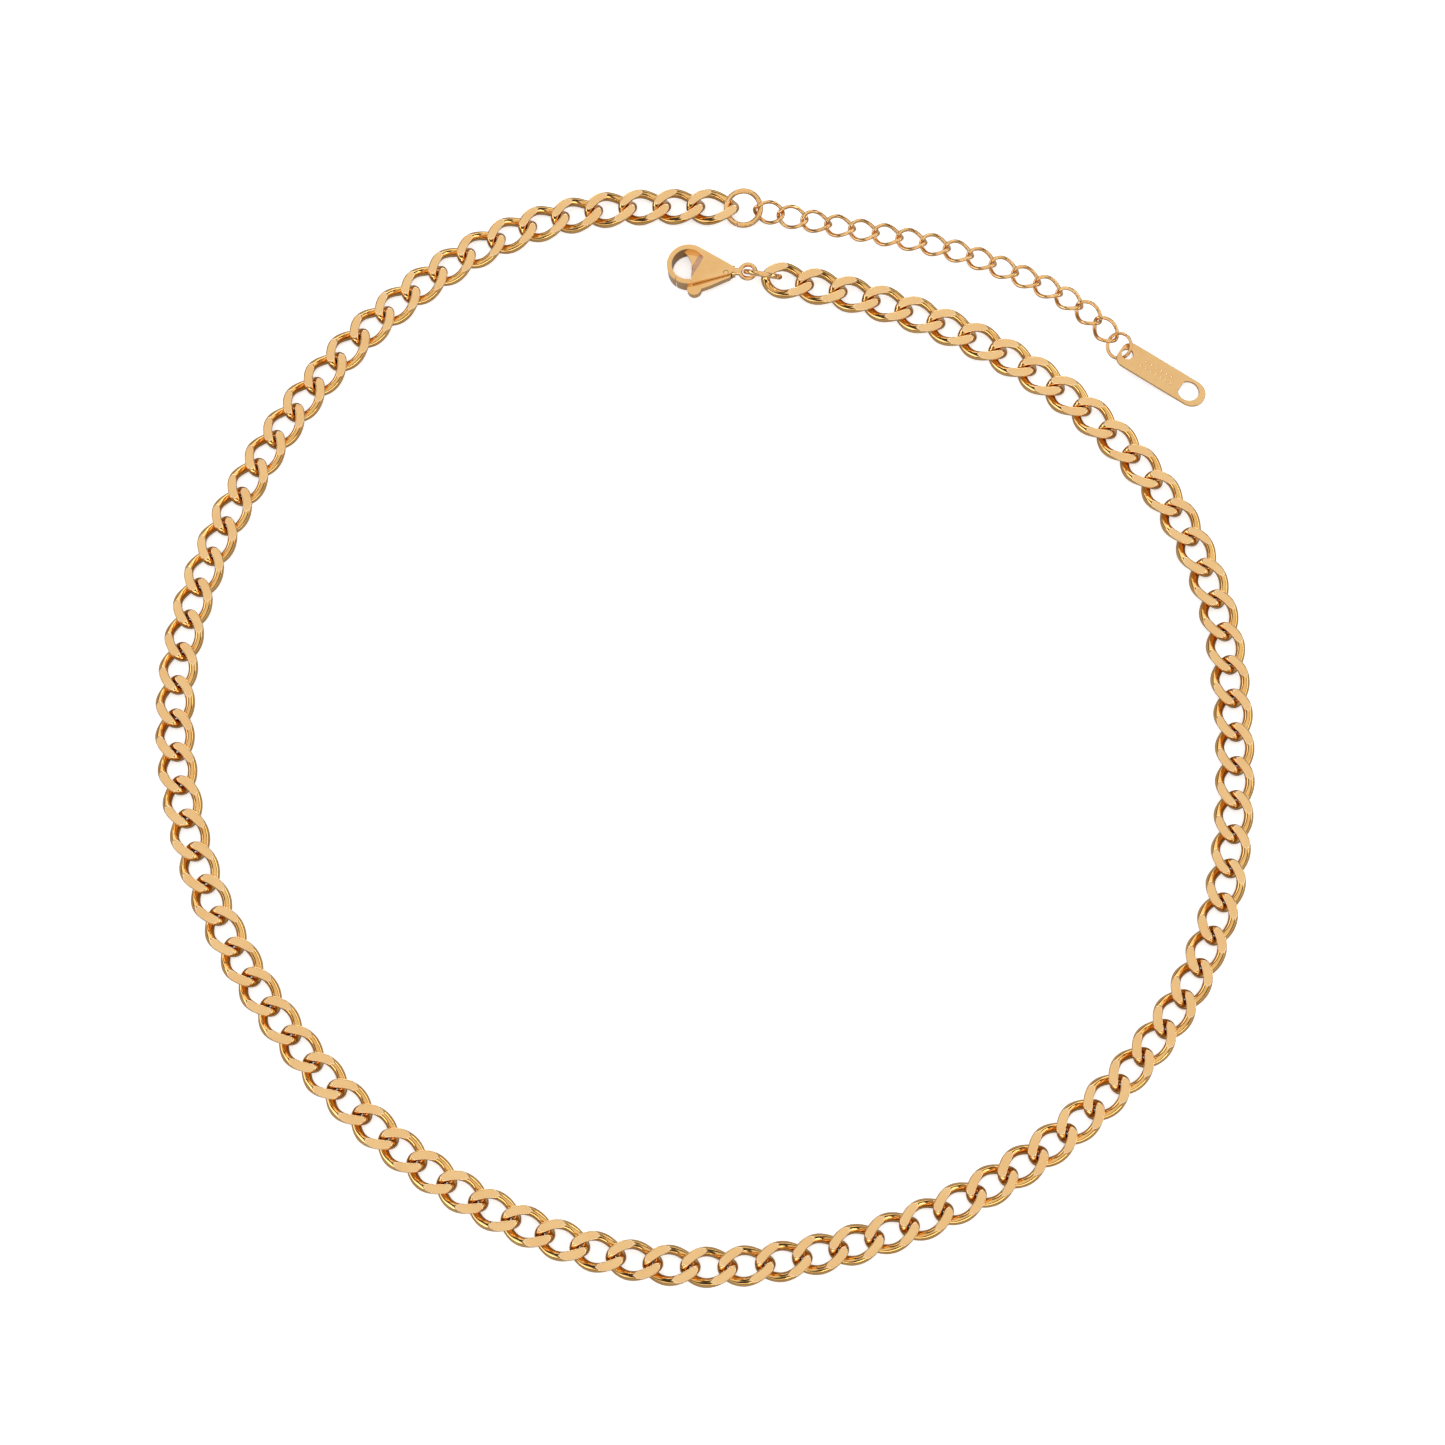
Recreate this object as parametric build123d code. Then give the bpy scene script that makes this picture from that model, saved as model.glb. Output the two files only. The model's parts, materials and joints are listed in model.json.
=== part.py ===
from build123d import *
import math
import os

# A curb chain necklace that lies in an open loop on a flat surface, in millimetres and degrees.
# The origin is on that surface, below the middle of the loop. +Y runs from the front of the
# necklace to its clasp, and +Z is up.

# Main chain: links of round wire, twisted and then ground flat on both faces.
LINK_PITCH = 4.15
LINK_WIRE = 1.1
LINK_WIDTH = 4.6
LINK_SLACK = 0.14  # play between one link's wire and the next
GROUND_THICKNESS = 1.55  # from one ground face to the other
SEGMENTS = 31
LINKS_PER_SEGMENT = 3

# How the main chain lies: from its clasp end, each stretch turns right by so many degrees.
LOOP_START = (10.0, 55.0)
LOOP_HEADING = -9.2
LOOP_TURNS = (20, 24, 31, 14, 30, 21, 21, 30, 22, 17, 22, 27, 16, 20, 35, 10)
LINKS_PER_LOOP_TURN = 6
END_LIFT = 1.8  # the slope of each end segment, up to its ring

# Extender: small links of round wire, twisted but not ground.
SMALL_PITCH = 2.95
SMALL_WIRE = 0.46
SMALL_WIDTH = 3.0
SMALL_SLACK = 0.10
SMALL_LINKS = 16
EXTENDER_HEADING = -10.5
EXTENDER_TURNS = (1, 1, 10, 6, 24)
LINKS_PER_EXTENDER_TURN = 3
EXTENDER_LIFT = 0.05  # each small link's lowest point clears the surface by this
EXTENDER_FALL = 0.13  # height lost per link, from the end ring down to the surface
FIRST_ROLLS = (37, 17)  # the first small links roll over to follow the end ring
LAST_ROLLS = (12, 20)  # and the last ones to follow the tag ring

# Both kinds of link turn by this much out of their middle plane at each end.
LINK_TWIST = 45.0
LINK_SECTIONS = 13  # cross-sections along half a main link
SMALL_SECTIONS = 17  # and along half a small link

# Jump rings: round wire, bent to a circle whose ends meet at a fine cut.
RING_WIRE = 0.66
RING_OUTSIDE = 4.8
TAG_RING_WIRE = 0.40
TAG_RING_OUTSIDE = 3.4
RING_CUT = 0.05

# Where each ring sits, from the middle of the link that holds it.
END_RING_REACH = 3.74
END_RING_ROLL = 22.0
FIRST_LINK_REACH = 3.14  # from the end ring's middle to the first small link's
TAG_RING_REACH = 2.66
TAG_RING_ROLL = 12.0
CLASP_RING_MIDDLE = (-3.10, -0.15, 1.14)
CLASP_RING_LEAN = 64.0

# Tag: a flat plate with a small hole for its ring and a large hole at its free end.
TAG_LENGTH = 11.7
TAG_WIDTH = 3.5
TAG_THICKNESS = 0.35
TAG_CORNER = 1.2
TAG_RING_HOLE = 1.4
TAG_RING_HOLE_INSET = 1.0
TAG_OPEN_HOLE = 2.6
TAG_OPEN_HOLE_INSET = 2.15
TAG_OPEN_HOLE_FLAT = 1.05  # from the hole's middle to its one flat side
TAG_HEADING = -32.7
TAG_ROLL = -6.0
TAG_PITCH = 3.3

# Lobster clasp. Its own frame has its origin in the middle of the hook, with the eye towards +X.
HOOK_OUTSIDE = 2.6  # radius
HOOK_INSIDE = 2.0  # radius
CLASP_THICKNESS = 2.0
NECK_THICKNESS = 1.6
NECK = (4.9, -0.75)
NECK_RADIUS = 0.62
TAPER_START = 1.0  # the body is full thickness up to here, and then thins towards the neck
OPENING_EDGE = 0.35  # the see-through part of the hook ends here
OPENING_CURVE = 2.6  # radius of that end's upper part
BEVEL_TOP = (0.30, -1.97)  # one end of the bevel's upper edge; the other end is below
BEVEL_TOP_END = (2.00, 0.95)
BEVEL_FOOT = 0.15  # height of the bevel's lower edge over the middle plane
EYE = (7.15, -0.77)
EYE_RADIUS = 0.92
EYE_WIRE = 0.54
STEM_RADIUS = 0.45
COLLAR_RADIUS = 0.72
COLLAR_LENGTH = 0.35
CLASP_EYE_AT = (-4.95, 0.25, 0.41)  # the eye's middle, from the middle of the first link
CLASP_PITCH = -3.7
PIVOT = (4.55, -1.22)
PIN_RADIUS = 0.28
PIN_PLAY = 0.04
LEVER_THICKNESS = 0.9
GATE_THICKNESS = 1.9
LEVER_PLAY = 0.08
SLOT_CEILING = (-0.35, -0.48)  # the lever slot's height at the hook and at the pivot
PIVOT_ROOM = 0.72  # radius of the slot round the pin
PIVOT_BOSS = 0.64  # radius of the lever round the pin
ARM_OUTLINE = (
    (0.1, -1.98), (4.55, -0.72), (5.05, -1.32), (4.65, -1.84), (2.6, -2.75), (1.3, -3.2), (0.1, -2.9),
)
GATE_START = 215.0  # the gate lies between these angles round the hook, anticlockwise from +X
GATE_END = 278.0
GATE_REACH = 6.08  # from the pivot to the gate's tip, which is cut round the pivot so that it swings clear
KNOB = (0.70, -3.05)
KNOB_RADIUS = 0.85
SPRING_AT = 2.45  # along X
SPRING_RADIUS = 0.28
SPRING_WIRE = 0.11
SPRING_PITCH = 0.18
SPRING_TURNS = 3
SPRING_SEAT = -1.10  # the height that the coil starts from, along Y


# ---- How the pieces lie ----


def lay_links(start, heading, pitch, turns, links_per_turn, count):
    """The (x, y, heading) of each link in a chain that lies along arcs."""
    x, y = start
    laid = []
    for index in range(count):
        laid.append((x, y, heading))
        turn = turns[min(index // links_per_turn, len(turns) - 1)] / links_per_turn
        way = math.radians(heading - turn / 2)
        x += pitch * math.cos(way)
        y += pitch * math.sin(way)
        heading -= turn
    return laid


def facing(x, y, z, heading, pitch=0.0, roll=0.0):
    """A place with its X axis along a heading, pitched nose down, then rolled about that axis."""
    turned = Location((x, y, z), (0, 0, heading)) * Location((0, 0, 0), (0, pitch, 0))
    return turned * Location((0, 0, 0), (roll, 0, 0))


def main_places():
    """The place of each main link, from the clasp end to the extender end."""
    count = SEGMENTS * LINKS_PER_SEGMENT
    laid = lay_links(LOOP_START, LOOP_HEADING, LINK_PITCH, LOOP_TURNS, LINKS_PER_LOOP_TURN, count)
    step = LINK_PITCH * math.sin(math.radians(END_LIFT))
    places = []
    for index, (x, y, heading) in enumerate(laid):
        before = max(0.0, LINKS_PER_SEGMENT - 0.5 - index)
        after = max(0.0, index - (count - LINKS_PER_SEGMENT - 0.5))
        pitch = END_LIFT * ((before > 0) - (after > 0))
        places.append(facing(x, y, GROUND_THICKNESS / 2 + step * (before + after), heading, pitch))
    return places


def end_ring_place():
    """The end ring lies almost flat beyond the last main link."""
    return main_places()[-1] * Location((END_RING_REACH, 0, 0), (END_RING_ROLL, 0, 0))


def small_roll(index):
    """How far a small link rolls over about its own length."""
    rolls = dict(enumerate(FIRST_ROLLS))
    rolls.update({SMALL_LINKS - len(LAST_ROLLS) + k: roll for k, roll in enumerate(LAST_ROLLS)})
    return rolls.get(index, 0.0)


def lowest_point(half_length, half_width, wire, roll):
    """How far a rolled link's wire reaches below the link's middle."""
    turn = math.radians(roll)
    lowest = 0.0
    for angle in range(0, 360, 5):
        point = wire_point(half_length, half_width, angle)
        lowest = min(lowest, point.Y * math.sin(turn) + point.Z * math.cos(turn))
    return wire / 2 - lowest


def small_heights(first_height):
    """The height of each small link's middle: down from the end ring, and never into the surface."""
    half_length = link_half_length(SMALL_PITCH, SMALL_WIRE, SMALL_SLACK)
    half_width = (SMALL_WIDTH - SMALL_WIRE) / 2
    heights = []
    for index in range(SMALL_LINKS):
        resting = EXTENDER_LIFT + lowest_point(half_length, half_width, SMALL_WIRE, small_roll(index))
        heights.append(max(resting, first_height - EXTENDER_FALL * (index + 1)))
    return heights


def small_places():
    """The place of each small link, from the end ring to the tag ring."""
    ring = end_ring_place().position
    way = math.radians(EXTENDER_HEADING)
    start = (ring.X + FIRST_LINK_REACH * math.cos(way), ring.Y + FIRST_LINK_REACH * math.sin(way))
    laid = lay_links(
        start, EXTENDER_HEADING, SMALL_PITCH, EXTENDER_TURNS, LINKS_PER_EXTENDER_TURN, SMALL_LINKS
    )
    heights = small_heights(ring.Z)
    around = [ring.Z] + heights + [heights[-1]]
    places = []
    for index, (x, y, heading) in enumerate(laid):
        drop = around[index] - around[index + 2]
        pitch = math.degrees(math.asin(drop / 2 / SMALL_PITCH))
        places.append(facing(x, y, heights[index], heading, pitch, small_roll(index)))
    return places


def tag_ring_place():
    """The tag ring hangs on the last small link."""
    return small_places()[-1] * Location((TAG_RING_REACH, 0, 0), (TAG_RING_ROLL, 0, 0))


def tag_place():
    """The tag's own frame has its origin in its ring hole, where the ring's wire passes through."""
    ring = tag_ring_place()
    hold = (TAG_RING_OUTSIDE - TAG_RING_WIRE) / 2
    reach = ring * Location((hold, 0, 0))
    at = reach.position
    return facing(at.X, at.Y, at.Z, TAG_HEADING, TAG_PITCH, TAG_ROLL)


def clasp_ring_place():
    """The clasp ring stands up, leaning towards the front, with the first main link in it."""
    return main_places()[0] * Location(CLASP_RING_MIDDLE, (-CLASP_RING_LEAN, 0, 0))


def clasp_place():
    """The clasp lies on its side with its eye round the clasp ring."""
    eye = (main_places()[0] * Location(CLASP_EYE_AT)).position
    return facing(eye.X, eye.Y, eye.Z, 0, CLASP_PITCH) * Location((-EYE[0], -EYE[1], 0))


# ---- Chain links ----


def link_half_length(pitch, wire, slack):
    """From a link's middle to its wire's centre line at one end."""
    return (pitch + wire + slack) / 2


def wire_point(half_length, half_width, angle):
    """A point on a link's centre line: an oval whose plane turns as it runs along the link."""
    turn = -math.radians(LINK_TWIST) * math.cos(math.radians(angle))
    across = half_width * math.sin(math.radians(angle))
    along = half_length * math.cos(math.radians(angle))
    return Vector(along, across * math.cos(turn), across * math.sin(turn))


def half_link(half_length, half_width, wire, count):
    """One side of a link: round wire from one end of the oval to the other."""
    step = 0.01
    sections = []
    for index in range(count):
        angle = 180 * index / (count - 1)
        ahead = wire_point(half_length, half_width, angle + step)
        behind = wire_point(half_length, half_width, angle - step)
        middle = wire_point(half_length, half_width, angle)
        across = Plane(origin=middle, x_dir=(0, 0, 1), z_dir=ahead - behind)
        sections.append(across * Circle(wire / 2))
    return loft(sections)


def is_wire_end(face):
    """Whether a face is the flat end of a half link, and not one of its ground faces."""
    return face.geom_type == GeomType.PLANE and abs(face.normal_at().Z) < 0.9


def both_halves(side):
    """A whole link: its half and a copy turned over about the link's length, joined end to end."""
    skin = [face for face in side.faces() if not is_wire_end(face)]
    turned = [face.rotate(Axis.X, 180) for face in skin]
    return Solid(Shell(Face.sew_faces(skin + turned)[0]))


def curb_link():
    """A main link, with both faces ground flat."""
    half_length = link_half_length(LINK_PITCH, LINK_WIRE, LINK_SLACK)
    side = half_link(half_length, (LINK_WIDTH - LINK_WIRE) / 2, LINK_WIRE, LINK_SECTIONS)
    ground_away = Pos(0, 0, GROUND_THICKNESS / 2) * Box(
        3 * LINK_PITCH, 3 * LINK_WIDTH, LINK_WIDTH, align=(Align.CENTER, Align.CENTER, Align.MIN)
    )
    return both_halves(side - ground_away - ground_away.rotate(Axis.X, 180))


def small_link():
    """An extender link."""
    half_length = link_half_length(SMALL_PITCH, SMALL_WIRE, SMALL_SLACK)
    half_width = (SMALL_WIDTH - SMALL_WIRE) / 2
    return both_halves(half_link(half_length, half_width, SMALL_WIRE, SMALL_SECTIONS))


# ---- Rings and tag ----


def jump_ring(outside, wire, cut_at):
    """A ring of round wire, with its fine cut at an angle from its own X axis."""
    middle = (outside - wire) / 2
    cut = math.degrees(RING_CUT / middle)
    ring = Torus(middle, wire / 2, major_angle=360 - cut)
    return ring.rotate(Axis.Z, cut_at + cut / 2)


def tag():
    """The tag, with the middle of its ring hole at the origin."""
    straight = TAG_LENGTH - TAG_WIDTH / 2
    plate = Rectangle(straight, TAG_WIDTH, align=(Align.MIN, Align.CENTER))
    plate = fillet(plate.vertices().group_by(Axis.X)[0], TAG_CORNER)
    plate += Pos(straight, 0) * Circle(TAG_WIDTH / 2)
    plate -= Pos(TAG_RING_HOLE_INSET, 0) * Circle(TAG_RING_HOLE / 2)
    hole = Circle(TAG_OPEN_HOLE / 2) & Pos(-TAG_OPEN_HOLE_FLAT, 0) * Rectangle(
        TAG_OPEN_HOLE * 2, TAG_OPEN_HOLE * 2, align=(Align.MIN, Align.CENTER)
    )
    plate -= Pos(TAG_LENGTH - TAG_OPEN_HOLE_INSET, 0) * hole
    solid = extrude(plate, TAG_THICKNESS / 2, both=True)
    return Pos(-TAG_RING_HOLE_INSET, 0, 0) * solid


# ---- Clasp ----


def clasp_profile():
    """The clasp's side view: full thickness at the hook, thinner at the neck."""
    thick, thin = CLASP_THICKNESS / 2, NECK_THICKNESS / 2
    far = NECK[0] + 1
    outline = Polyline(
        (-HOOK_OUTSIDE, thick), (TAPER_START, thick), (far, thin),
        (far, -thin), (TAPER_START, -thick), (-HOOK_OUTSIDE, -thick), close=True,
    )
    return extrude(Plane.XZ * make_face(outline), HOOK_OUTSIDE * 2, both=True)


def clasp_outline():
    """The teardrop that the body is cut from: the hook's circle drawn out to the neck."""
    hook = Circle(HOOK_OUTSIDE)
    neck = Pos(*NECK) * Circle(NECK_RADIUS)
    return make_hull(hook.edges() + neck.edges())


def hook_opening():
    """The see-through part of the hook: its right edge is curved, and straight beside the lever's slot."""
    below = Pos(OPENING_EDGE, 0) * Rectangle(
        3 * HOOK_OUTSIDE, HOOK_OUTSIDE, align=(Align.MAX, Align.MAX)
    )
    curved = Pos(OPENING_EDGE - OPENING_CURVE, 0) * Circle(OPENING_CURVE)
    return Circle(HOOK_INSIDE) & (below + curved)


def bevel_cut():
    """What the bevel between the hook's opening and the body's upper face removes."""
    along = (Vector(*BEVEL_TOP_END) - Vector(*BEVEL_TOP)).normalized()
    outward = Vector(-along.Y, along.X)
    foot = (Vector(OPENING_EDGE, 0) - Vector(*BEVEL_TOP)).dot(outward)
    rise = CLASP_THICKNESS / 2 - BEVEL_FOOT
    far = 3 * HOOK_OUTSIDE
    triangle = Polyline((0, rise), (foot, 0), (far, 0), (far, rise + 1), (0, rise + 1), close=True)
    frame = Plane(origin=(*BEVEL_TOP, BEVEL_FOOT), x_dir=outward, z_dir=along)
    wedge = extrude(frame * make_face(triangle), far, both=True)
    hook = extrude(Circle(HOOK_INSIDE), CLASP_THICKNESS)
    return wedge & hook


def lever_slot():
    """The room in the body for the lever, from shut to fully open."""
    near = OPENING_EDGE - LEVER_PLAY
    far = PIVOT[0] + PIVOT_ROOM
    below = -HOOK_OUTSIDE - 1
    at_hook, at_pivot = SLOT_CEILING
    outline = Polyline(
        (near, below), (near, at_hook), (PIVOT[0], at_pivot), (far, PIVOT[1]), (far, below), close=True
    )
    room = make_face(outline) + Pos(*PIVOT) * Circle(PIVOT_ROOM)
    return extrude(room, LEVER_THICKNESS / 2 + LEVER_PLAY, both=True)


def hook_mouth():
    """The piece of the hook's rim that the gate closes, with room round the gate."""
    play = math.degrees(LEVER_PLAY / HOOK_INSIDE)
    mouth = rim_sector(GATE_START, GATE_END + play, HOOK_INSIDE - 0.3, HOOK_OUTSIDE + 0.5)
    return mouth & Pos(*PIVOT) * Circle(GATE_REACH + LEVER_PLAY)


def rim_sector(first, last, inside, outside):
    """A flat sector of a ring round the hook's middle."""
    ring = Circle(outside) - Circle(inside)
    reach = 2 * HOOK_OUTSIDE
    corners = [(0, 0)]
    for angle in (first, (first + last) / 2, last):
        turn = math.radians(angle)
        corners.append((reach * math.cos(turn), reach * math.sin(turn)))
    return ring & make_face(Polyline(*corners, close=True))


def clasp_body():
    """Hook, body, collar and eye, cast in one piece."""
    body = extrude(clasp_outline(), CLASP_THICKNESS, both=True) & clasp_profile()
    body -= extrude(hook_opening(), CLASP_THICKNESS, both=True)
    bevel = bevel_cut()
    body -= bevel
    body -= bevel.mirror(Plane.XY)
    body -= extrude(hook_mouth(), CLASP_THICKNESS, both=True)
    body -= lever_slot()
    body -= Pos(*PIVOT) * Cylinder(PIN_RADIUS + PIN_PLAY, 2 * CLASP_THICKNESS)
    start = NECK[0] + NECK_RADIUS - 0.25
    collar = Pos(start, NECK[1], 0) * Rot(0, 90, 0) * Cylinder(
        COLLAR_RADIUS, COLLAR_LENGTH, align=(Align.CENTER, Align.CENTER, Align.MIN)
    )
    stem_length = EYE[0] - EYE_RADIUS - start
    stem = Pos(start, NECK[1], 0) * Rot(0, 90, 0) * Cylinder(
        STEM_RADIUS, stem_length, align=(Align.CENTER, Align.CENTER, Align.MIN)
    )
    eye = Pos(*EYE) * Torus(EYE_RADIUS, EYE_WIRE / 2)
    return body + [collar, stem, eye]


def clasp_lever():
    """Gate, thumb knob and arm in one piece, shut against the hook."""
    rim = rim_sector(GATE_START, GATE_END, HOOK_INSIDE, HOOK_OUTSIDE)
    gate = extrude(rim & Pos(*PIVOT) * Circle(GATE_REACH), GATE_THICKNESS / 2, both=True)
    knob = Pos(*KNOB) * Circle(KNOB_RADIUS)
    boss = Pos(*PIVOT) * Circle(PIVOT_BOSS)
    arm = make_face(Polyline(*ARM_OUTLINE, close=True))
    lever = gate + extrude(arm + knob + boss, LEVER_THICKNESS / 2, both=True)
    return lever - Pos(*PIVOT) * Cylinder(PIN_RADIUS + PIN_PLAY, 2 * CLASP_THICKNESS)


def clasp_pin():
    """The rivet that the lever turns on, flush with the body's faces."""
    return Pos(*PIVOT) * Cylinder(PIN_RADIUS, NECK_THICKNESS)


def clasp_spring():
    """The small coil between the body and the lever's arm."""
    coil = Helix(SPRING_PITCH, SPRING_PITCH * SPRING_TURNS, SPRING_RADIUS)
    wire = sweep(Plane(origin=coil @ 0, z_dir=coil % 0) * Circle(SPRING_WIRE / 2), path=coil)
    return Pos(SPRING_AT, SPRING_SEAT, 0) * Rot(-90, 0, 0) * wire


# ---- The whole necklace ----


def write(name, *solids):
    """One node: one solid, or a group of separate ones."""
    shape = solids[0] if len(solids) == 1 else Compound(list(solids))
    export_step(shape, f"parts/{name}.step")


def main():
    os.makedirs("parts", exist_ok=True)
    link = curb_link()
    places = main_places()
    for segment in range(SEGMENTS):
        first = segment * LINKS_PER_SEGMENT
        held = [place * link for place in places[first:first + LINKS_PER_SEGMENT]]
        write(f"curb_links_{segment + 1:02d}", *held)
    small = small_link()
    for index, place in enumerate(small_places()):
        write(f"extender_link_{index + 1:02d}", place * small)
    write("end_ring", end_ring_place() * jump_ring(RING_OUTSIDE, RING_WIRE, 250))
    write("clasp_ring", clasp_ring_place() * jump_ring(RING_OUTSIDE, RING_WIRE, 90))
    write("tag_ring", tag_ring_place() * jump_ring(TAG_RING_OUTSIDE, TAG_RING_WIRE, 100))
    write("tag", tag_place() * tag())
    clasp = clasp_place()
    write("clasp_body", clasp * clasp_body())
    write("clasp_lever", clasp * clasp_lever())
    write("clasp_pin", clasp * clasp_pin())
    write("clasp_spring", clasp * clasp_spring())


if __name__ == "__main__":
    main()
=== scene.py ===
import json
import math

import bmesh
import bpy
import numpy as np
from mathutils import Matrix, Vector


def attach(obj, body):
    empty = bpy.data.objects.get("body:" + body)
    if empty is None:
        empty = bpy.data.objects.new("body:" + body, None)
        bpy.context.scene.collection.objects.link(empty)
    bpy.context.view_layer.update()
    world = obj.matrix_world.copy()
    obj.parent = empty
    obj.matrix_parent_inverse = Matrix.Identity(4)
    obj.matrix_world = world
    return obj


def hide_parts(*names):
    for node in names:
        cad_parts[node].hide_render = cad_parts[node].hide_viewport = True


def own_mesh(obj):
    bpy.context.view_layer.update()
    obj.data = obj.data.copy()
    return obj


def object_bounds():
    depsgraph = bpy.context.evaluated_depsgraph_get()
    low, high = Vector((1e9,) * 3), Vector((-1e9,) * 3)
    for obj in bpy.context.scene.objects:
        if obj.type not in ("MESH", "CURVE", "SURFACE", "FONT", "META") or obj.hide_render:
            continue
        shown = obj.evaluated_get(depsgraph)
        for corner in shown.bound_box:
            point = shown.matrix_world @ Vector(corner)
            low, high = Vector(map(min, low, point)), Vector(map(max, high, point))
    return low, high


# A gold-coloured curb chain necklace lying in an open loop, with its extender, tag and lobster clasp.
# Every piece is rebuilt as a fine mesh in the place of its CAD node, and moves with that node's body.

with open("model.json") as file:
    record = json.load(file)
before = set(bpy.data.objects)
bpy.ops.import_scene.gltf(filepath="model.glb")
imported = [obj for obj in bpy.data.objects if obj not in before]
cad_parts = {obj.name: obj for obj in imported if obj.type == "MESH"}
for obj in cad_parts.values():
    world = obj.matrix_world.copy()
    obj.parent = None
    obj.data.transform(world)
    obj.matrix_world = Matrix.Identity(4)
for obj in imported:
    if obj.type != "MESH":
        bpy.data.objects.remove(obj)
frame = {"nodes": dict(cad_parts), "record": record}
cad_low, cad_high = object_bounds()
record = frame["record"]

MM = 0.001
MERGE = 1e-7  # points closer than this, in metres, are one point

# Chain links, swept round a twisted oval
LINK_WIRE = 1.1 * MM
SMALL_WIRE = 0.46 * MM
LINK_TWIST = math.radians(45)
STATIONS = 120  # sections round a link
FACET_POINTS = 6  # points across each ground face
SIDE_POINTS = 9  # points down each rounded side
LEAST_FACET = math.radians(12)
RIM = math.radians(5.5)  # half of the softened edge of a ground face, as an angle of the wire
SEAM_DEPTH = 0.03  # of the wire's radius
SEAM_WIDTH = math.radians(1.6)
# the rim slot is coloured paler than the ground faces, a painted highlight
SIDE, FACET, RIM_SLOT = 0, 1, 2  # a link's material slots

# Jump rings
RINGS = {"end_ring": 0.66 * MM, "clasp_ring": 0.66 * MM, "tag_ring": 0.40 * MM}  # each one's wire
RING_STATIONS = 120
RING_POINTS = 20
RING_CUT = 0.05 * MM
RING_MISMATCH = 0.012 * MM  # how far a ring's two ends miss each other

# Tag
TAG_WIDTH = 3.5 * MM
TAG_LENGTH = 11.7 * MM
TAG_CORNER = 1.2 * MM
TAG_THICKNESS = 0.35 * MM
TAG_EDGE = 0.06 * MM
TAG_RING_HOLE = 0.7 * MM  # radius
TAG_RING_HOLE_INSET = 1.0 * MM
TAG_OPEN_HOLE = 1.3 * MM  # radius
TAG_OPEN_HOLE_INSET = 2.15 * MM
TAG_OPEN_HOLE_FLAT = 1.05 * MM
DOT = 0.2 * MM  # radius of each punched dot
DOTS = 13
DOTS_START = 3.1 * MM
DOTS_END = 7.3 * MM
DOTS_SWING = 0.42 * MM  # how far the zigzag leaves the tag's middle

# Clasp
CLASP_EDGE = 0.07 * MM  # its edges are softened by this much
SPRING_EDGE = 0.01 * MM
BEVEL_RISE = (0.6, 0.85)  # how steeply the sloping faces beside the hook's opening face up or down
BEVEL_LEAN = -0.45  # and how far they face away from the eye


# ---- Reading the frame ----


def cad_mesh(node):
    """A CAD node's points and triangles, with the points that share a place merged."""
    data = frame["nodes"][node].data
    data.calc_loop_triangles()
    points = np.zeros(len(data.vertices) * 3, np.float32)
    data.vertices.foreach_get("co", points)
    triangles = np.zeros(len(data.loop_triangles) * 3, np.int32)
    data.loop_triangles.foreach_get("vertices", triangles)
    keys = np.round(points.reshape(-1, 3).astype(float) / MERGE).astype(np.int64)
    unique, merged = np.unique(keys, axis=0, return_inverse=True)
    return unique * MERGE, merged.reshape(-1)[triangles].reshape(-1, 3)


def separate_solids(points, triangles):
    """The triangles of each separate solid, as a list of arrays."""
    label = np.arange(len(points))
    while True:
        lowest = label[triangles].min(axis=1)
        spread = label.copy()
        for corner in range(3):
            np.minimum.at(spread, triangles[:, corner], lowest)
        spread = spread[spread]
        if (spread == label).all():
            break
        label = spread
    of_triangle = label[triangles[:, 0]]
    return [triangles[of_triangle == one] for one in np.unique(of_triangle)]


def own_frame(points, triangles):
    """A solid's own place: its middle, X along its length and Z through its thinnest direction, upwards."""
    a, b, c = (points[triangles[:, corner]] for corner in range(3))
    volume = np.einsum("ij,ij->i", a, np.cross(b, c)) / 6
    middle = (volume[:, None] * (a + b + c)).sum(0) / 4 / volume.sum()
    a, b, c = a - middle, b - middle, c - middle
    volume = np.einsum("ij,ij->i", a, np.cross(b, c)) / 20
    spread = np.zeros((3, 3))
    for arm in (a + b + c, a, b, c):
        spread += np.einsum("i,ij,ik->jk", volume, arm, arm)
    axes = np.linalg.eigh(spread)[1]
    z, x = Vector(axes[:, 0]), Vector(axes[:, 2])
    if z.z < 0:
        z = -z
    return placed(Vector(middle), x, z)


def placed(middle, x, z):
    """The matrix of a place with these X and Z axes."""
    y = z.cross(x)
    matrix = Matrix((x, y, z)).transposed().to_4x4()
    matrix.translation = middle
    return matrix


def solid_places(node):
    """The own place and size of each solid in a node."""
    points, triangles = cad_mesh(node)
    found = []
    for solid in separate_solids(points, triangles):
        place = own_frame(points, solid)
        used = points[np.unique(solid)]
        inverse = np.array(place.inverted())
        local = used @ inverse[:3, :3].T + inverse[:3, 3]
        low, high = local.min(0), local.max(0)
        found.append((place, Vector(low), Vector(high)))
    return found


def mount(name):
    """A mount's position and axis, from the record."""
    found = next(m for m in record["mounts"] if m["name"] == name)
    return Vector(found["pos_m"]), Vector(found["axis"])


# ---- Meshes from code ----


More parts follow.
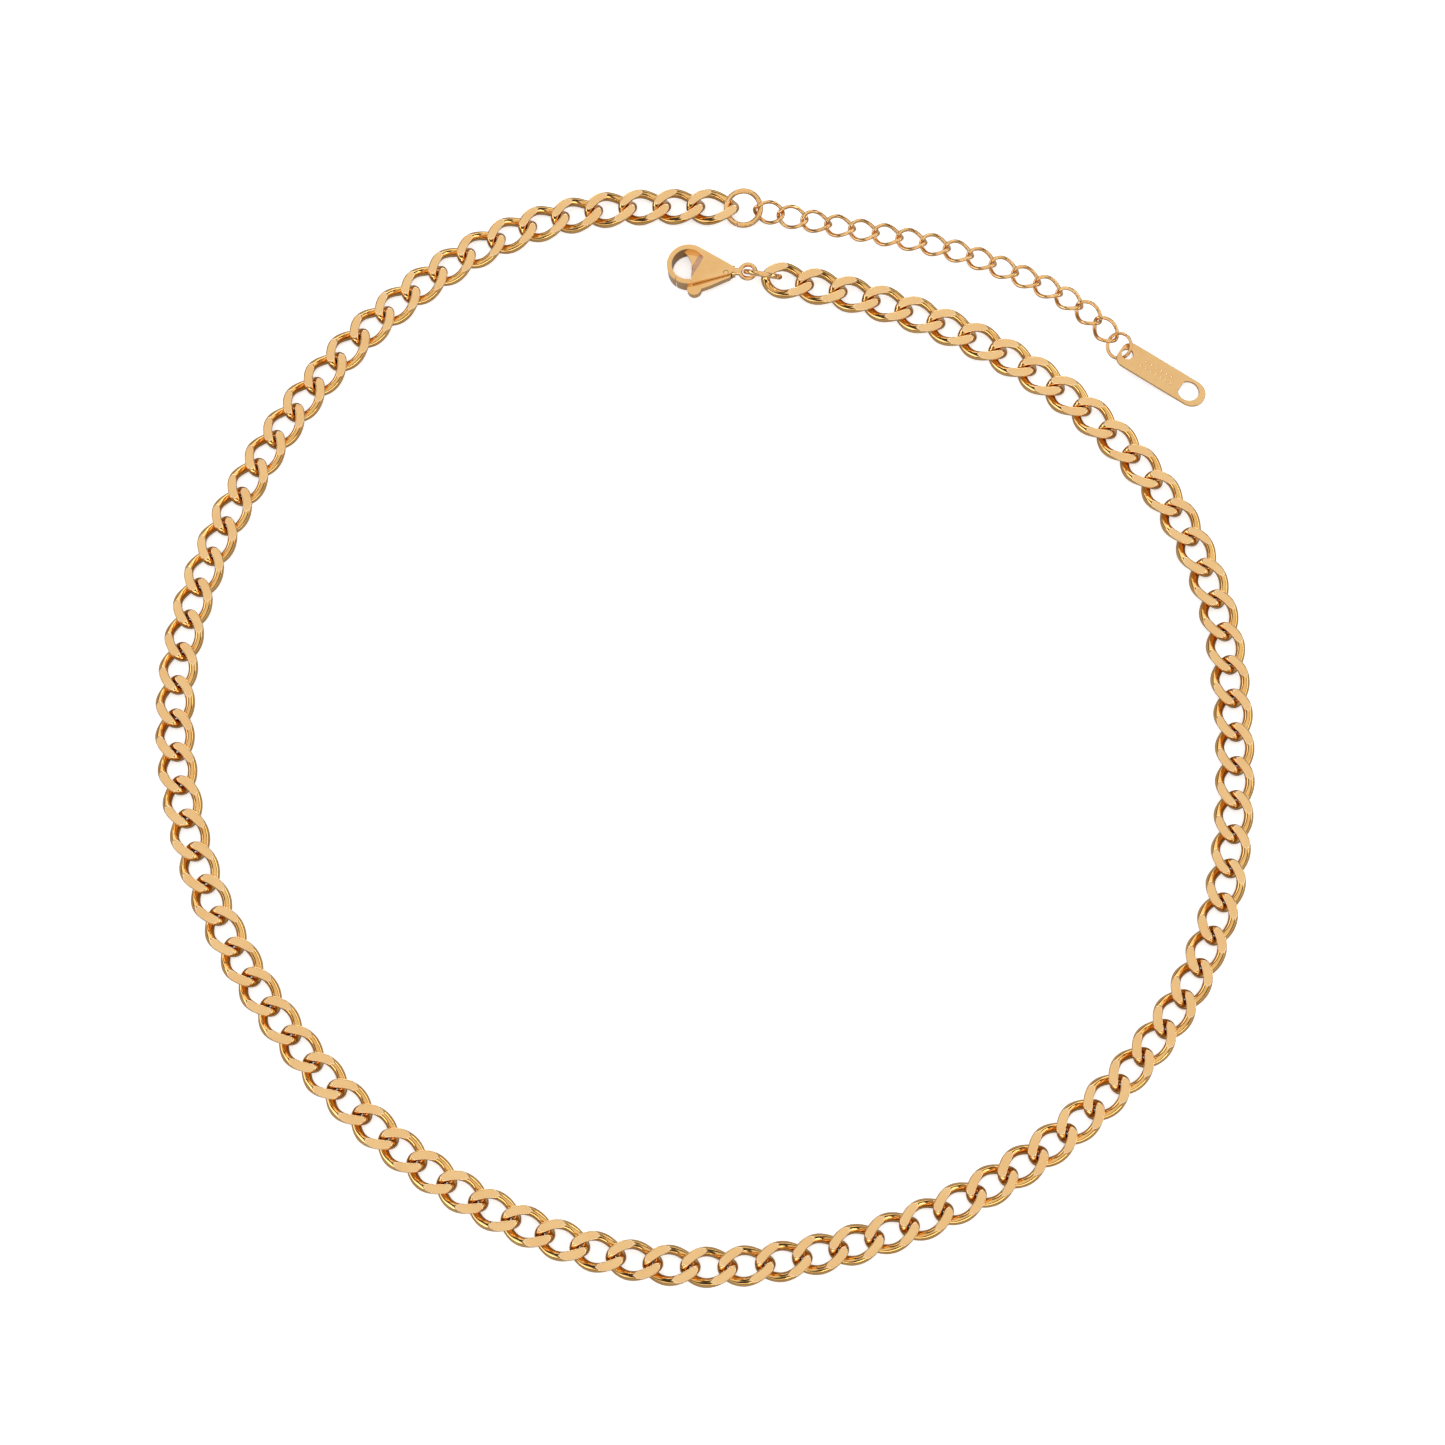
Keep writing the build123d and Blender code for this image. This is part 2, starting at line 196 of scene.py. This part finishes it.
def new_piece(name, points, faces, materials, face_material=None, uv=None):
    """An object from points and faces, smooth, with its materials."""
    mesh = bpy.data.meshes.new(name)
    mesh.from_pydata([tuple(p) for p in points], [], [tuple(f) for f in faces])
    for material in materials:
        mesh.materials.append(material)
    if face_material is not None:
        mesh.polygons.foreach_set("material_index", np.asarray(face_material, np.int32))
    mesh.polygons.foreach_set("use_smooth", np.ones(len(mesh.polygons), bool))
    if uv is not None:
        layer = mesh.uv_layers.new(name="along")
        corners = np.zeros(len(mesh.loops), np.int32)
        mesh.loops.foreach_get("vertex_index", corners)
        layer.data.foreach_set("uv", np.asarray(uv, np.float32)[corners].ravel())
    mesh.validate()
    piece = bpy.data.objects.new(name, mesh)
    bpy.context.scene.collection.objects.link(piece)
    return piece


def even_normals(piece):
    """Shades flat faces flat and narrow edges smooth, by weighting normals with face area."""
    weighted = piece.modifiers.new("even_normals", "WEIGHTED_NORMAL")
    weighted.keep_sharp = True
    weighted.weight = 80


def oval_point(half_length, half_width, angle):
    """A point on a link's centre line: an oval whose plane turns as it runs along the link."""
    turn = -LINK_TWIST * math.cos(angle)
    across = half_width * math.sin(angle)
    return Vector((half_length * math.cos(angle), across * math.cos(turn), across * math.sin(turn)))


def section_angles(top, bottom):
    """Where a section's points sit round the wire, given half the angle that each ground face takes."""
    top = max(top, LEAST_FACET)
    bottom = max(bottom, LEAST_FACET)
    angles = []
    for middle, half in ((math.pi / 2, top), (3 * math.pi / 2, bottom)):
        edge = math.sin(half - RIM)
        for step in range(FACET_POINTS):
            across = edge * (1 - 2 * step / (FACET_POINTS - 1))
            angles.append(middle - math.asin(across))
        other = bottom if middle < math.pi else top
        first = middle + half + RIM
        last = middle + math.pi - other - RIM
        for step in range(SIDE_POINTS):
            angles.append(first + (last - first) * step / (SIDE_POINTS - 1))
    return angles


def ground_angle(height, slope, radius):
    """Half the angle of the wire that grinding removes, from the ground face's height over its middle."""
    share = height / (radius * slope)
    return math.acos(share) if share < 1 else 0.0


def link_mesh(half_length, half_width, wire, ground):
    """One link as points, quads, each quad's material slot, and lengthwise coordinates."""
    radius = wire / 2
    points = []
    flat = []
    along = []
    step = 1e-3
    for station in range(STATIONS):
        angle = 2 * math.pi * station / STATIONS
        middle = oval_point(half_length, half_width, angle)
        ahead = oval_point(half_length, half_width, angle + step)
        behind = oval_point(half_length, half_width, angle - step)
        tangent = (ahead - behind).normalized()
        side = tangent.cross(Vector((0, 0, 1))).normalized()
        up = side.cross(tangent)
        top = ground_angle(ground - middle.z, up.z, radius)
        bottom = ground_angle(ground + middle.z, up.z, radius)
        seam = 1 - SEAM_DEPTH * math.exp(-(math.remainder(angle, 2 * math.pi) / SEAM_WIDTH) ** 2)
        for around in section_angles(top, bottom):
            across = radius * seam * math.cos(around)
            rise = radius * seam * math.sin(around)
            highest = (ground - middle.z) / up.z
            lowest = (-ground - middle.z) / up.z
            held = min(max(rise, lowest), highest)
            points.append(middle + side * across + up * held)
            flat.append(held != rise)
            along.append((angle * half_length / MM, around * radius / MM))
    count = len(points) // STATIONS
    faces = []
    for station in range(STATIONS):
        here, there = station * count, (station + 1) % STATIONS * count
        for k in range(count):
            after = (k + 1) % count
            faces.append((here + k, there + k, there + after, here + after))
    on_ground = [sum(flat[corner] for corner in face) for face in faces]
    return points, faces, [FACET if n == 4 else RIM_SLOT if n else SIDE for n in on_ground], along


def chain_piece(name, node, wire, materials, ground=True):
    """All the links of one CAD node as one piece."""
    points, faces, face_material, along = [], [], [], []
    for place, low, high in solid_places(node):
        half_length = (high.x - low.x - wire) / 2
        half_width = (high.y - low.y - wire) / 2
        limit = (high.z - low.z) / 2 if ground else 2 * wire + half_width
        link = link_mesh(half_length, half_width, wire, limit)
        shift = len(points)
        points += [place @ point for point in link[0]]
        faces += [[corner + shift for corner in face] for face in link[1]]
        face_material += link[2]
        along += link[3]
    piece = new_piece(name, points, faces, materials, face_material, along)
    even_normals(piece)
    return piece


def ring_mesh(middle_radius, wire, cut_angle):
    """An open ring of round wire in the XY plane, with softened ends at its cut."""
    radius = wire / 2
    half_gap = RING_CUT / 2 / middle_radius
    ends = [(0.0, 0.86), (0.02, 0.96), (0.05, 1.0)]  # millimetres in from the end, share of the radius
    stations = [(half_gap + inset * MM / middle_radius, share) for inset, share in ends]
    first = stations[-1][0]
    last = 2 * math.pi - first
    for k in range(1, RING_STATIONS):
        stations.append((first + (last - first) * k / RING_STATIONS, 1.0))
    for inset, share in reversed(ends):
        stations.append((2 * math.pi - half_gap - inset * MM / middle_radius, share))
    points = []
    along = []
    for angle, share in stations:
        way = angle + cut_angle
        lift = RING_MISMATCH * math.cos(angle / 2)
        for k in range(RING_POINTS):
            around = 2 * math.pi * k / RING_POINTS
            out = middle_radius + radius * share * math.cos(around)
            height = lift + radius * share * math.sin(around)
            points.append(Vector((out * math.cos(way), out * math.sin(way), height)))
            along.append((angle * middle_radius / MM, around * radius / MM))
    faces = []
    for station in range(len(stations) - 1):
        here, there = station * RING_POINTS, (station + 1) * RING_POINTS
        for k in range(RING_POINTS):
            after = (k + 1) % RING_POINTS
            faces.append((here + k, there + k, there + after, here + after))
    faces.append(list(range(RING_POINTS)))
    faces.append([len(points) - 1 - k for k in range(RING_POINTS)])
    return points, faces, along


def ring_piece(name, node, wire, material):
    """A jump ring in the place of its CAD node."""
    place, low, high = solid_places(node)[0]
    centre = place @ ((low + high) / 2)
    to_cut = centre - place.translation
    middle_radius = (max(high.x - low.x, high.y - low.y) - wire) / 2
    flat = placed(centre, place.col[0].to_3d(), place.col[2].to_3d())
    local = flat.inverted().to_3x3() @ to_cut
    points, faces, along = ring_mesh(middle_radius, wire, math.atan2(local.y, local.x))
    piece = new_piece(name, [flat @ p for p in points], faces, [material], uv=along)
    even_normals(piece)
    return piece


# ---- Tag ----


def arc(centre, radius, first, last, steps):
    """Points round an arc, angles in degrees."""
    found = []
    for k in range(steps + 1):
        angle = math.radians(first + (last - first) * k / steps)
        found.append((centre[0] + radius * math.cos(angle), centre[1] + radius * math.sin(angle)))
    return found


def plate(outline, holes, thickness, edge, material, name):
    """A flat plate with softened edges, from its outline and its holes."""
    curve = bpy.data.curves.new(name, "CURVE")
    curve.dimensions = "2D"
    curve.fill_mode = "BOTH"
    curve.extrude = thickness / 2 - edge
    curve.bevel_depth = edge
    curve.bevel_resolution = 3
    curve.offset = -edge
    for loop in [outline] + holes:
        spline = curve.splines.new("POLY")
        spline.points.add(len(loop) - 1)
        for point, (x, y) in zip(spline.points, loop):
            point.co = (x, y, 0, 1)
        spline.use_cyclic_u = True
    holder = bpy.data.objects.new(name + "_outline", curve)
    bpy.context.scene.collection.objects.link(holder)
    bpy.context.view_layer.update()
    mesh = bpy.data.meshes.new_from_object(holder)
    bpy.data.objects.remove(holder)
    tidy = bmesh.new()
    tidy.from_mesh(mesh)
    bmesh.ops.remove_doubles(tidy, verts=tidy.verts, dist=0.002 * MM)
    bmesh.ops.recalc_face_normals(tidy, faces=tidy.faces)
    tidy.to_mesh(mesh)
    tidy.free()
    mesh.materials.clear()
    mesh.materials.append(material)
    piece = bpy.data.objects.new(name, mesh)
    bpy.context.scene.collection.objects.link(piece)
    return piece


def tag_piece(material, dot_painted_glint):
    """The tag: a plate with a ring hole, an open hole and a zigzag of punched dots, whose paler colour is a
    painted glint.
    """
    place, low, high = solid_places("tag")[0]
    hole, _ = mount("tag_hole")
    if (place.inverted() @ hole).x < 0:
        place = place @ Matrix.Rotation(math.pi, 4, "Z")
        low, high = Vector((-high.x, -high.y, low.z)), Vector((-low.x, -low.y, high.z))
    half = TAG_WIDTH / 2
    straight = TAG_LENGTH - half
    outline = arc((TAG_CORNER, -half + TAG_CORNER), TAG_CORNER, 180, 270, 12)
    outline += arc((straight, 0), half, -90, 90, 40)
    outline += arc((TAG_CORNER, half - TAG_CORNER), TAG_CORNER, 90, 180, 12)
    ring_hole = arc((TAG_RING_HOLE_INSET, 0), TAG_RING_HOLE, 0, 352.5, 47)
    open_middle = TAG_LENGTH - TAG_OPEN_HOLE_INSET
    flat_angle = math.degrees(math.acos(TAG_OPEN_HOLE_FLAT / TAG_OPEN_HOLE))
    open_hole = arc((open_middle, 0), TAG_OPEN_HOLE, -180 + flat_angle, 180 - flat_angle, 56)
    piece = plate(outline, [ring_hole, open_hole], TAG_THICKNESS, TAG_EDGE, material, "tag_plate")
    punch_dots(piece, dot_painted_glint)
    shift = Matrix.Translation((low.x, 0, (low.z + high.z) / 2))
    piece.data.transform(place @ shift)
    return piece


def punch_dots(piece, material):
    """Sinks a zigzag of small round dots into the tag's upper face; the dots' walls take the cutter's paler
    colour, a painted glint.
    """
    dots = bmesh.new()
    for k in range(DOTS):
        x = DOTS_START + (DOTS_END - DOTS_START) * k / (DOTS - 1)
        y = DOTS_SWING if k % 2 else -DOTS_SWING
        spot = Matrix.Translation((x, y, TAG_THICKNESS / 2 + DOT * 0.2))
        bmesh.ops.create_icosphere(dots, subdivisions=3, radius=DOT, matrix=spot)
    mesh = bpy.data.meshes.new("dots")
    dots.to_mesh(mesh)
    dots.free()
    mesh.materials.append(material)
    cutter = bpy.data.objects.new("dots", mesh)
    bpy.context.scene.collection.objects.link(cutter)
    cut(piece, cutter)


def cut(piece, cutter):
    """Cuts one object out of another and removes the cutter."""
    boolean = piece.modifiers.new("cut", "BOOLEAN")
    boolean.operation = "DIFFERENCE"
    boolean.solver = "EXACT"
    boolean.object = cutter
    boolean.material_mode = "TRANSFER"
    bpy.context.view_layer.update()
    graph = bpy.context.evaluated_depsgraph_get()
    mesh = bpy.data.meshes.new_from_object(piece.evaluated_get(graph))
    piece.modifiers.clear()
    piece.data = mesh
    bpy.data.objects.remove(cutter)


# ---- Clasp ----


def refined(name, node, edge, material, segments=3):
    """A CAD node's solid, with its flat faces cleaned up and its sharp edges softened."""
    points, triangles = cad_mesh(node)
    piece = new_piece(name, points, triangles, [material])
    shape = bmesh.new()
    shape.from_mesh(piece.data)
    bmesh.ops.remove_doubles(shape, verts=shape.verts, dist=0.001 * MM)
    bmesh.ops.dissolve_limit(
        shape, angle_limit=math.radians(1), verts=shape.verts, edges=shape.edges
    )
    shape.to_mesh(piece.data)
    shape.free()
    bevel = piece.modifiers.new("soft_edges", "BEVEL")
    bevel.width = edge
    bevel.segments = segments
    bevel.limit_method = "ANGLE"
    bevel.angle_limit = math.radians(28)
    bevel.miter_outer = "MITER_ARC"
    even_normals(piece)
    return piece


def satin_bevel_with_painted_highlight(piece, material):
    """Gives the sloping faces beside the hook's opening their own satin finish, in a paler, pinkish colour
    that is a painted highlight.
    """
    piece.data.materials.append(material)
    for face in piece.data.polygons:
        slopes = BEVEL_RISE[0] < abs(face.normal.z) < BEVEL_RISE[1]
        if slopes and face.normal.x < BEVEL_LEAN:
            face.material_index = 1


# ---- Materials ----


def srgb(red, green, blue):
    """A colour from its 0 to 255 values."""
    found = []
    for value in (red, green, blue):
        share = value / 255
        found.append(share / 12.92 if share <= 0.04045 else ((share + 0.055) / 1.055) ** 2.4)
    return (*found, 1.0)


class Nodes:
    """A small helper that adds and joins shader nodes."""

    def __init__(self, tree):
        self.tree = tree

    def add(self, kind, **values):
        node = self.tree.nodes.new(kind)
        for key, value in values.items():
            if hasattr(node, key):
                setattr(node, key, value)
            else:
                node.inputs[key.replace("_", " ").title()].default_value = value
        return node

    def join(self, source, output, target, socket):
        self.tree.links.new(source.outputs[output], target.inputs[socket])


def ramp(nodes, stops):
    """A colour ramp from (position, grey or colour) stops."""
    node = nodes.add("ShaderNodeValToRGB")
    while len(node.color_ramp.elements) < len(stops):
        node.color_ramp.elements.new(0.5)
    for element, (position, colour) in zip(node.color_ramp.elements, stops):
        element.position = position
        element.color = colour if isinstance(colour, tuple) else (colour, colour, colour, 1)
    return node


COAT = 0.6  # the clear lacquer's strength, which makes the brightest lines paler
COAT_ROUGHNESS = 0.04
TONE_SCALE = 260.0  # of the faint tone changes, per metre


def gold(name, pale, deep, rough, grain_stretch, bump):
    """Polished gold-coloured plating with faint tone changes, fine scratches and a clear lacquer.

    The grain follows a piece's lengthwise coordinates if its third stretch is 0, and else its own space.
    """
    material = bpy.data.materials.new(name)
    material.use_nodes = True
    tree = material.node_tree
    nodes = Nodes(tree)
    surface = tree.nodes["Principled BSDF"]
    surface.inputs["Metallic"].default_value = 1.0
    surface.inputs["Coat Weight"].default_value = COAT
    surface.inputs["Coat Roughness"].default_value = COAT_ROUGHNESS
    where = nodes.add("ShaderNodeTexCoord")

    tone = nodes.add("ShaderNodeTexNoise", Scale=TONE_SCALE, Detail=3.0, Roughness=0.55)
    nodes.join(where, "Object", tone, "Vector")
    colour = ramp(nodes, [(0.35, deep), (0.65, pale)])
    nodes.join(tone, "Fac", colour, "Fac")
    nodes.join(colour, "Color", surface, "Base Color")

    stretch = nodes.add("ShaderNodeMapping")
    stretch.inputs["Scale"].default_value = grain_stretch
    nodes.join(where, "UV" if grain_stretch[2] == 0 else "Object", stretch, "Vector")
    scratch = nodes.add("ShaderNodeTexNoise", Scale=1.0, Detail=4.0, Roughness=0.6)
    nodes.join(stretch, "Vector", scratch, "Vector")
    shine = ramp(nodes, [(0.3, rough[0]), (0.75, rough[1])])
    nodes.join(scratch, "Fac", shine, "Fac")
    nodes.join(shine, "Color", surface, "Roughness")

    relief = nodes.add("ShaderNodeBump", Strength=1.0, Distance=bump * MM)
    nodes.join(scratch, "Fac", relief, "Height")
    nodes.join(relief, "Normal", surface, "Normal")
    return material


def steel(name):
    """Drawn spring wire."""
    return gold(name, srgb(205, 203, 198), srgb(176, 174, 170), (0.22, 0.38), (9000, 9000, 30000), 0.002)


# The sky's brightness from straight down (0) to straight up (1): its dark bands draw the dark lines
# along the round wire
SKY = [
    (0.0, 0.40),
    (0.47, 0.30),
    (0.49, 0.02),
    (0.57, 0.02),
    (0.59, 1.20),
    (0.66, 1.50),
    (0.69, 0.04),
    (0.80, 0.05),
    (0.84, 0.98),
    (0.93, 0.98),
    (1.0, 0.98),
]

FLOOR_IN_METAL = 0.55  # the floor's tone as the metal mirrors it
FLOOR_GLOW = 0.55  # lifts the floor towards the white of a cut-out background


def floor_material():
    """A plain pale surface that stays light under the necklace."""
    material = bpy.data.materials.new("pale_floor")
    material.use_nodes = True
    tree = material.node_tree
    nodes = Nodes(tree)
    surface = tree.nodes["Principled BSDF"]
    surface.inputs["Roughness"].default_value = 0.9
    surface.inputs["Specular IOR Level"].default_value = 0.0
    grain = nodes.add("ShaderNodeTexNoise", Scale=900.0, Detail=2.0)
    tone = ramp(nodes, [(0.3, 0.92), (0.7, 0.94)])
    nodes.join(grain, "Fac", tone, "Fac")
    path = nodes.add("ShaderNodeLightPath")
    seen = nodes.add("ShaderNodeMixRGB")
    seen.inputs["Color1"].default_value = (FLOOR_IN_METAL, FLOOR_IN_METAL, FLOOR_IN_METAL, 1)
    nodes.join(path, "Is Camera Ray", seen, "Fac")
    nodes.join(tone, "Color", seen, "Color2")
    nodes.join(seen, "Color", surface, "Base Color")
    surface.inputs["Emission Color"].default_value = (1, 1, 1, 1)
    glow = nodes.add("ShaderNodeMath", operation="MULTIPLY")
    glow.inputs[1].default_value = FLOOR_GLOW
    nodes.join(path, "Is Camera Ray", glow, 0)
    nodes.join(glow, "Value", surface, "Emission Strength")
    return material


# ---- Studio ----


def studio_world():
    """Soft light from all round, bright above and dim near the horizon, and pale to the camera."""
    world = bpy.data.worlds.new("studio")
    bpy.context.scene.world = world
    world.use_nodes = True
    tree = world.node_tree
    tree.nodes.clear()
    nodes = Nodes(tree)
    where = nodes.add("ShaderNodeTexCoord")
    parts = nodes.add("ShaderNodeSeparateXYZ")
    nodes.join(where, "Generated", parts, "Vector")
    height = nodes.add("ShaderNodeMapRange")
    height.inputs["From Min"].default_value = -1.0
    nodes.join(parts, "Z", height, "Value")
    sky = ramp(nodes, SKY)
    nodes.join(height, "Result", sky, "Fac")
    light = nodes.add("ShaderNodeBackground", Strength=1.0)
    nodes.join(sky, "Color", light, "Color")
    seen = nodes.add("ShaderNodeBackground", Strength=1.0)
    seen.inputs["Color"].default_value = (0.97, 0.97, 0.97, 1)
    path = nodes.add("ShaderNodeLightPath")
    either = nodes.add("ShaderNodeMixShader")
    nodes.join(path, "Is Camera Ray", either, "Fac")
    tree.links.new(light.outputs[0], either.inputs[1])
    tree.links.new(seen.outputs[0], either.inputs[2])
    out = nodes.add("ShaderNodeOutputWorld")
    tree.links.new(either.outputs[0], out.inputs["Surface"])


def panel(name, direction, distance, size, power, colour=(1, 1, 1)):
    """A soft light panel that faces the middle of the necklace."""
    lamp = bpy.data.lights.new(name, "AREA")
    lamp.shape = "RECTANGLE"
    lamp.size, lamp.size_y = size
    lamp.energy = power
    lamp.color = colour
    holder = bpy.data.objects.new(name, lamp)
    bpy.context.scene.collection.objects.link(holder)
    azimuth, elevation = (math.radians(angle) for angle in direction)
    away = Vector((
        math.sin(azimuth) * math.cos(elevation),
        math.cos(azimuth) * math.cos(elevation),
        math.sin(elevation),
    ))
    middle = (cad_low + cad_high) / 2
    holder.location = middle + away * distance
    holder.rotation_mode = "QUATERNION"
    holder.rotation_quaternion = away.to_track_quat("Z", "Y")
    return holder


def floor():
    """A wide pale floor just under the necklace."""
    reach = 3.0
    level = cad_low.z - 0.01 * MM
    corners = [(x * reach, y * reach, level) for x, y in ((-1, -1), (1, -1), (1, 1), (-1, 1))]
    piece = new_piece("floor", corners, [(0, 1, 2, 3)], [floor_material()])


# Each panel: its name, azimuth, elevation, width and height in metres, power and colour
PANEL_DISTANCE = 0.9
PANELS = [
    ("left_panel", -90, 16, (0.9, 0.34), 1.5, (0.80, 0.82, 1.0)),
    ("right_panel", 90, 26, (0.9, 0.12), 1.1, (1.0, 0.96, 0.92)),
    ("back_panel", 0, 26, (0.9, 0.12), 1.1, (1.0, 0.97, 0.94)),
    ("front_panel", 180, 22, (0.9, 0.12), 1.1, (1.0, 0.97, 0.94)),
]


def studio_panels():
    """Narrow panels low round the necklace, which draw bright lines along the round wire."""
    for name, azimuth, elevation, size, power, colour in PANELS:
        panel(name, (azimuth, elevation), PANEL_DISTANCE, size, power, colour)


CAMERA_ELEVATION = math.radians(70.4)
CAMERA_DISTANCE = 446.5 * MM
CAMERA_LENS = 95.8
CAMERA_SENSOR = 36.0
CAMERA_AIM = Vector((2.117, -1.528, 0.75)) * MM


def camera():
    """A camera above and in front of the necklace, looking down at it."""
    data = bpy.data.cameras.new("camera")
    data.lens = CAMERA_LENS
    data.sensor_width = CAMERA_SENSOR
    data.clip_start = 10 * MM
    data.clip_end = 20.0
    holder = bpy.data.objects.new("camera", data)
    bpy.context.scene.collection.objects.link(holder)
    back = Vector((0, -math.cos(CAMERA_ELEVATION), math.sin(CAMERA_ELEVATION)))
    holder.location = CAMERA_AIM + back * CAMERA_DISTANCE
    holder.rotation_mode = "QUATERNION"
    holder.rotation_quaternion = back.to_track_quat("Z", "Y")
    bpy.context.scene.camera = holder


# ---- The necklace ----


# How each finish's grain is stretched: along and round a wire, or in the object's own space
FACET_GRAIN = (1.2, 14, 0)
WIRE_GRAIN = (0.9, 10, 0)
PLATE_GRAIN = (400, 9000, 400)
CAST_GRAIN = (700, 5000, 700)

# Each finish: its pale and deep tones, the range of its roughness, its grain and the grain's depth in mm
FINISHES = {
    "curb_facet": ((241, 198, 136), (237, 190, 126), (0.16, 0.26), FACET_GRAIN, 0.0002),
    # the softened rims of the ground faces and the tag's punched dots: a paler colour, a painted highlight
    "curb_rim": ((250, 222, 180), (244, 210, 164), (0.14, 0.24), FACET_GRAIN, 0.0002),
    "curb_wire": ((240, 190, 112), (230, 174, 96), (0.06, 0.15), WIRE_GRAIN, 0.0004),
    "small_link": ((242, 196, 132), (233, 180, 112), (0.06, 0.15), WIRE_GRAIN, 0.0003),
    "ring": ((242, 196, 132), (233, 180, 112), (0.06, 0.15), WIRE_GRAIN, 0.0003),
    "tag": ((238, 193, 130), (232, 184, 118), (0.18, 0.30), PLATE_GRAIN, 0.0006),
    "clasp": ((240, 194, 130), (233, 183, 115), (0.07, 0.16), CAST_GRAIN, 0.0004),
    # the sloping faces beside the hook's opening: a real satin roughness, and a paler, pinkish colour that
    # is a painted highlight
    "clasp_bevel": ((252, 226, 206), (246, 214, 190), (0.55, 0.65), CAST_GRAIN, 0.0004),
}


def build():
    """All the pieces, each in the place of its CAD node and on its body."""
    gilt = {}
    for name, (pale, deep, rough, grain, depth) in FINISHES.items():
        gilt[name] = gold(name + "_gold", srgb(*pale), srgb(*deep), rough, grain, depth)
    # the rim slot of each link holds the paler colour, a painted highlight along the edges of the ground
    # faces
    links = [gilt["curb_wire"], gilt["curb_facet"], gilt["curb_rim"]]

    bodies = record["behaviour"]["bodies"]
    body_of = {node: body for body, nodes in bodies.items() for node in nodes}

    def settle(piece, node):
        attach(piece, body_of[node])
        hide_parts(node)

    for node in sorted(frame["nodes"]):
        if node.startswith("curb_links_"):
            piece = chain_piece("curb_chain_" + node[-2:], node, LINK_WIRE, links)
            settle(piece, node)
        if node.startswith("extender_link_"):
            name = "small_chain_" + node[-2:]
            piece = chain_piece(name, node, SMALL_WIRE, [gilt["small_link"]], ground=False)
            settle(piece, node)
    for node, wire in RINGS.items():
        settle(ring_piece(node + "_wire", node, wire, gilt["ring"]), node)
    # the tag's dots take the paler rim colour, a painted glint
    settle(tag_piece(gilt["tag"], gilt["curb_rim"]), "tag")
    for node in ("clasp_body", "clasp_lever", "clasp_pin"):
        piece = refined(node + "_cast", node, CLASP_EDGE, gilt["clasp"])
        if node == "clasp_body":
            # the sloping faces get satin roughness and a paler colour, a painted highlight
            satin_bevel_with_painted_highlight(piece, gilt["clasp_bevel"])
        settle(piece, node)
    spring = refined("clasp_spring_wire", "clasp_spring", SPRING_EDGE, steel("spring_steel"), 1)
    settle(spring, "clasp_spring")
    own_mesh(spring)


build()
floor()
studio_world()
studio_panels()
camera()
bpy.context.scene.view_settings.view_transform = "Standard"
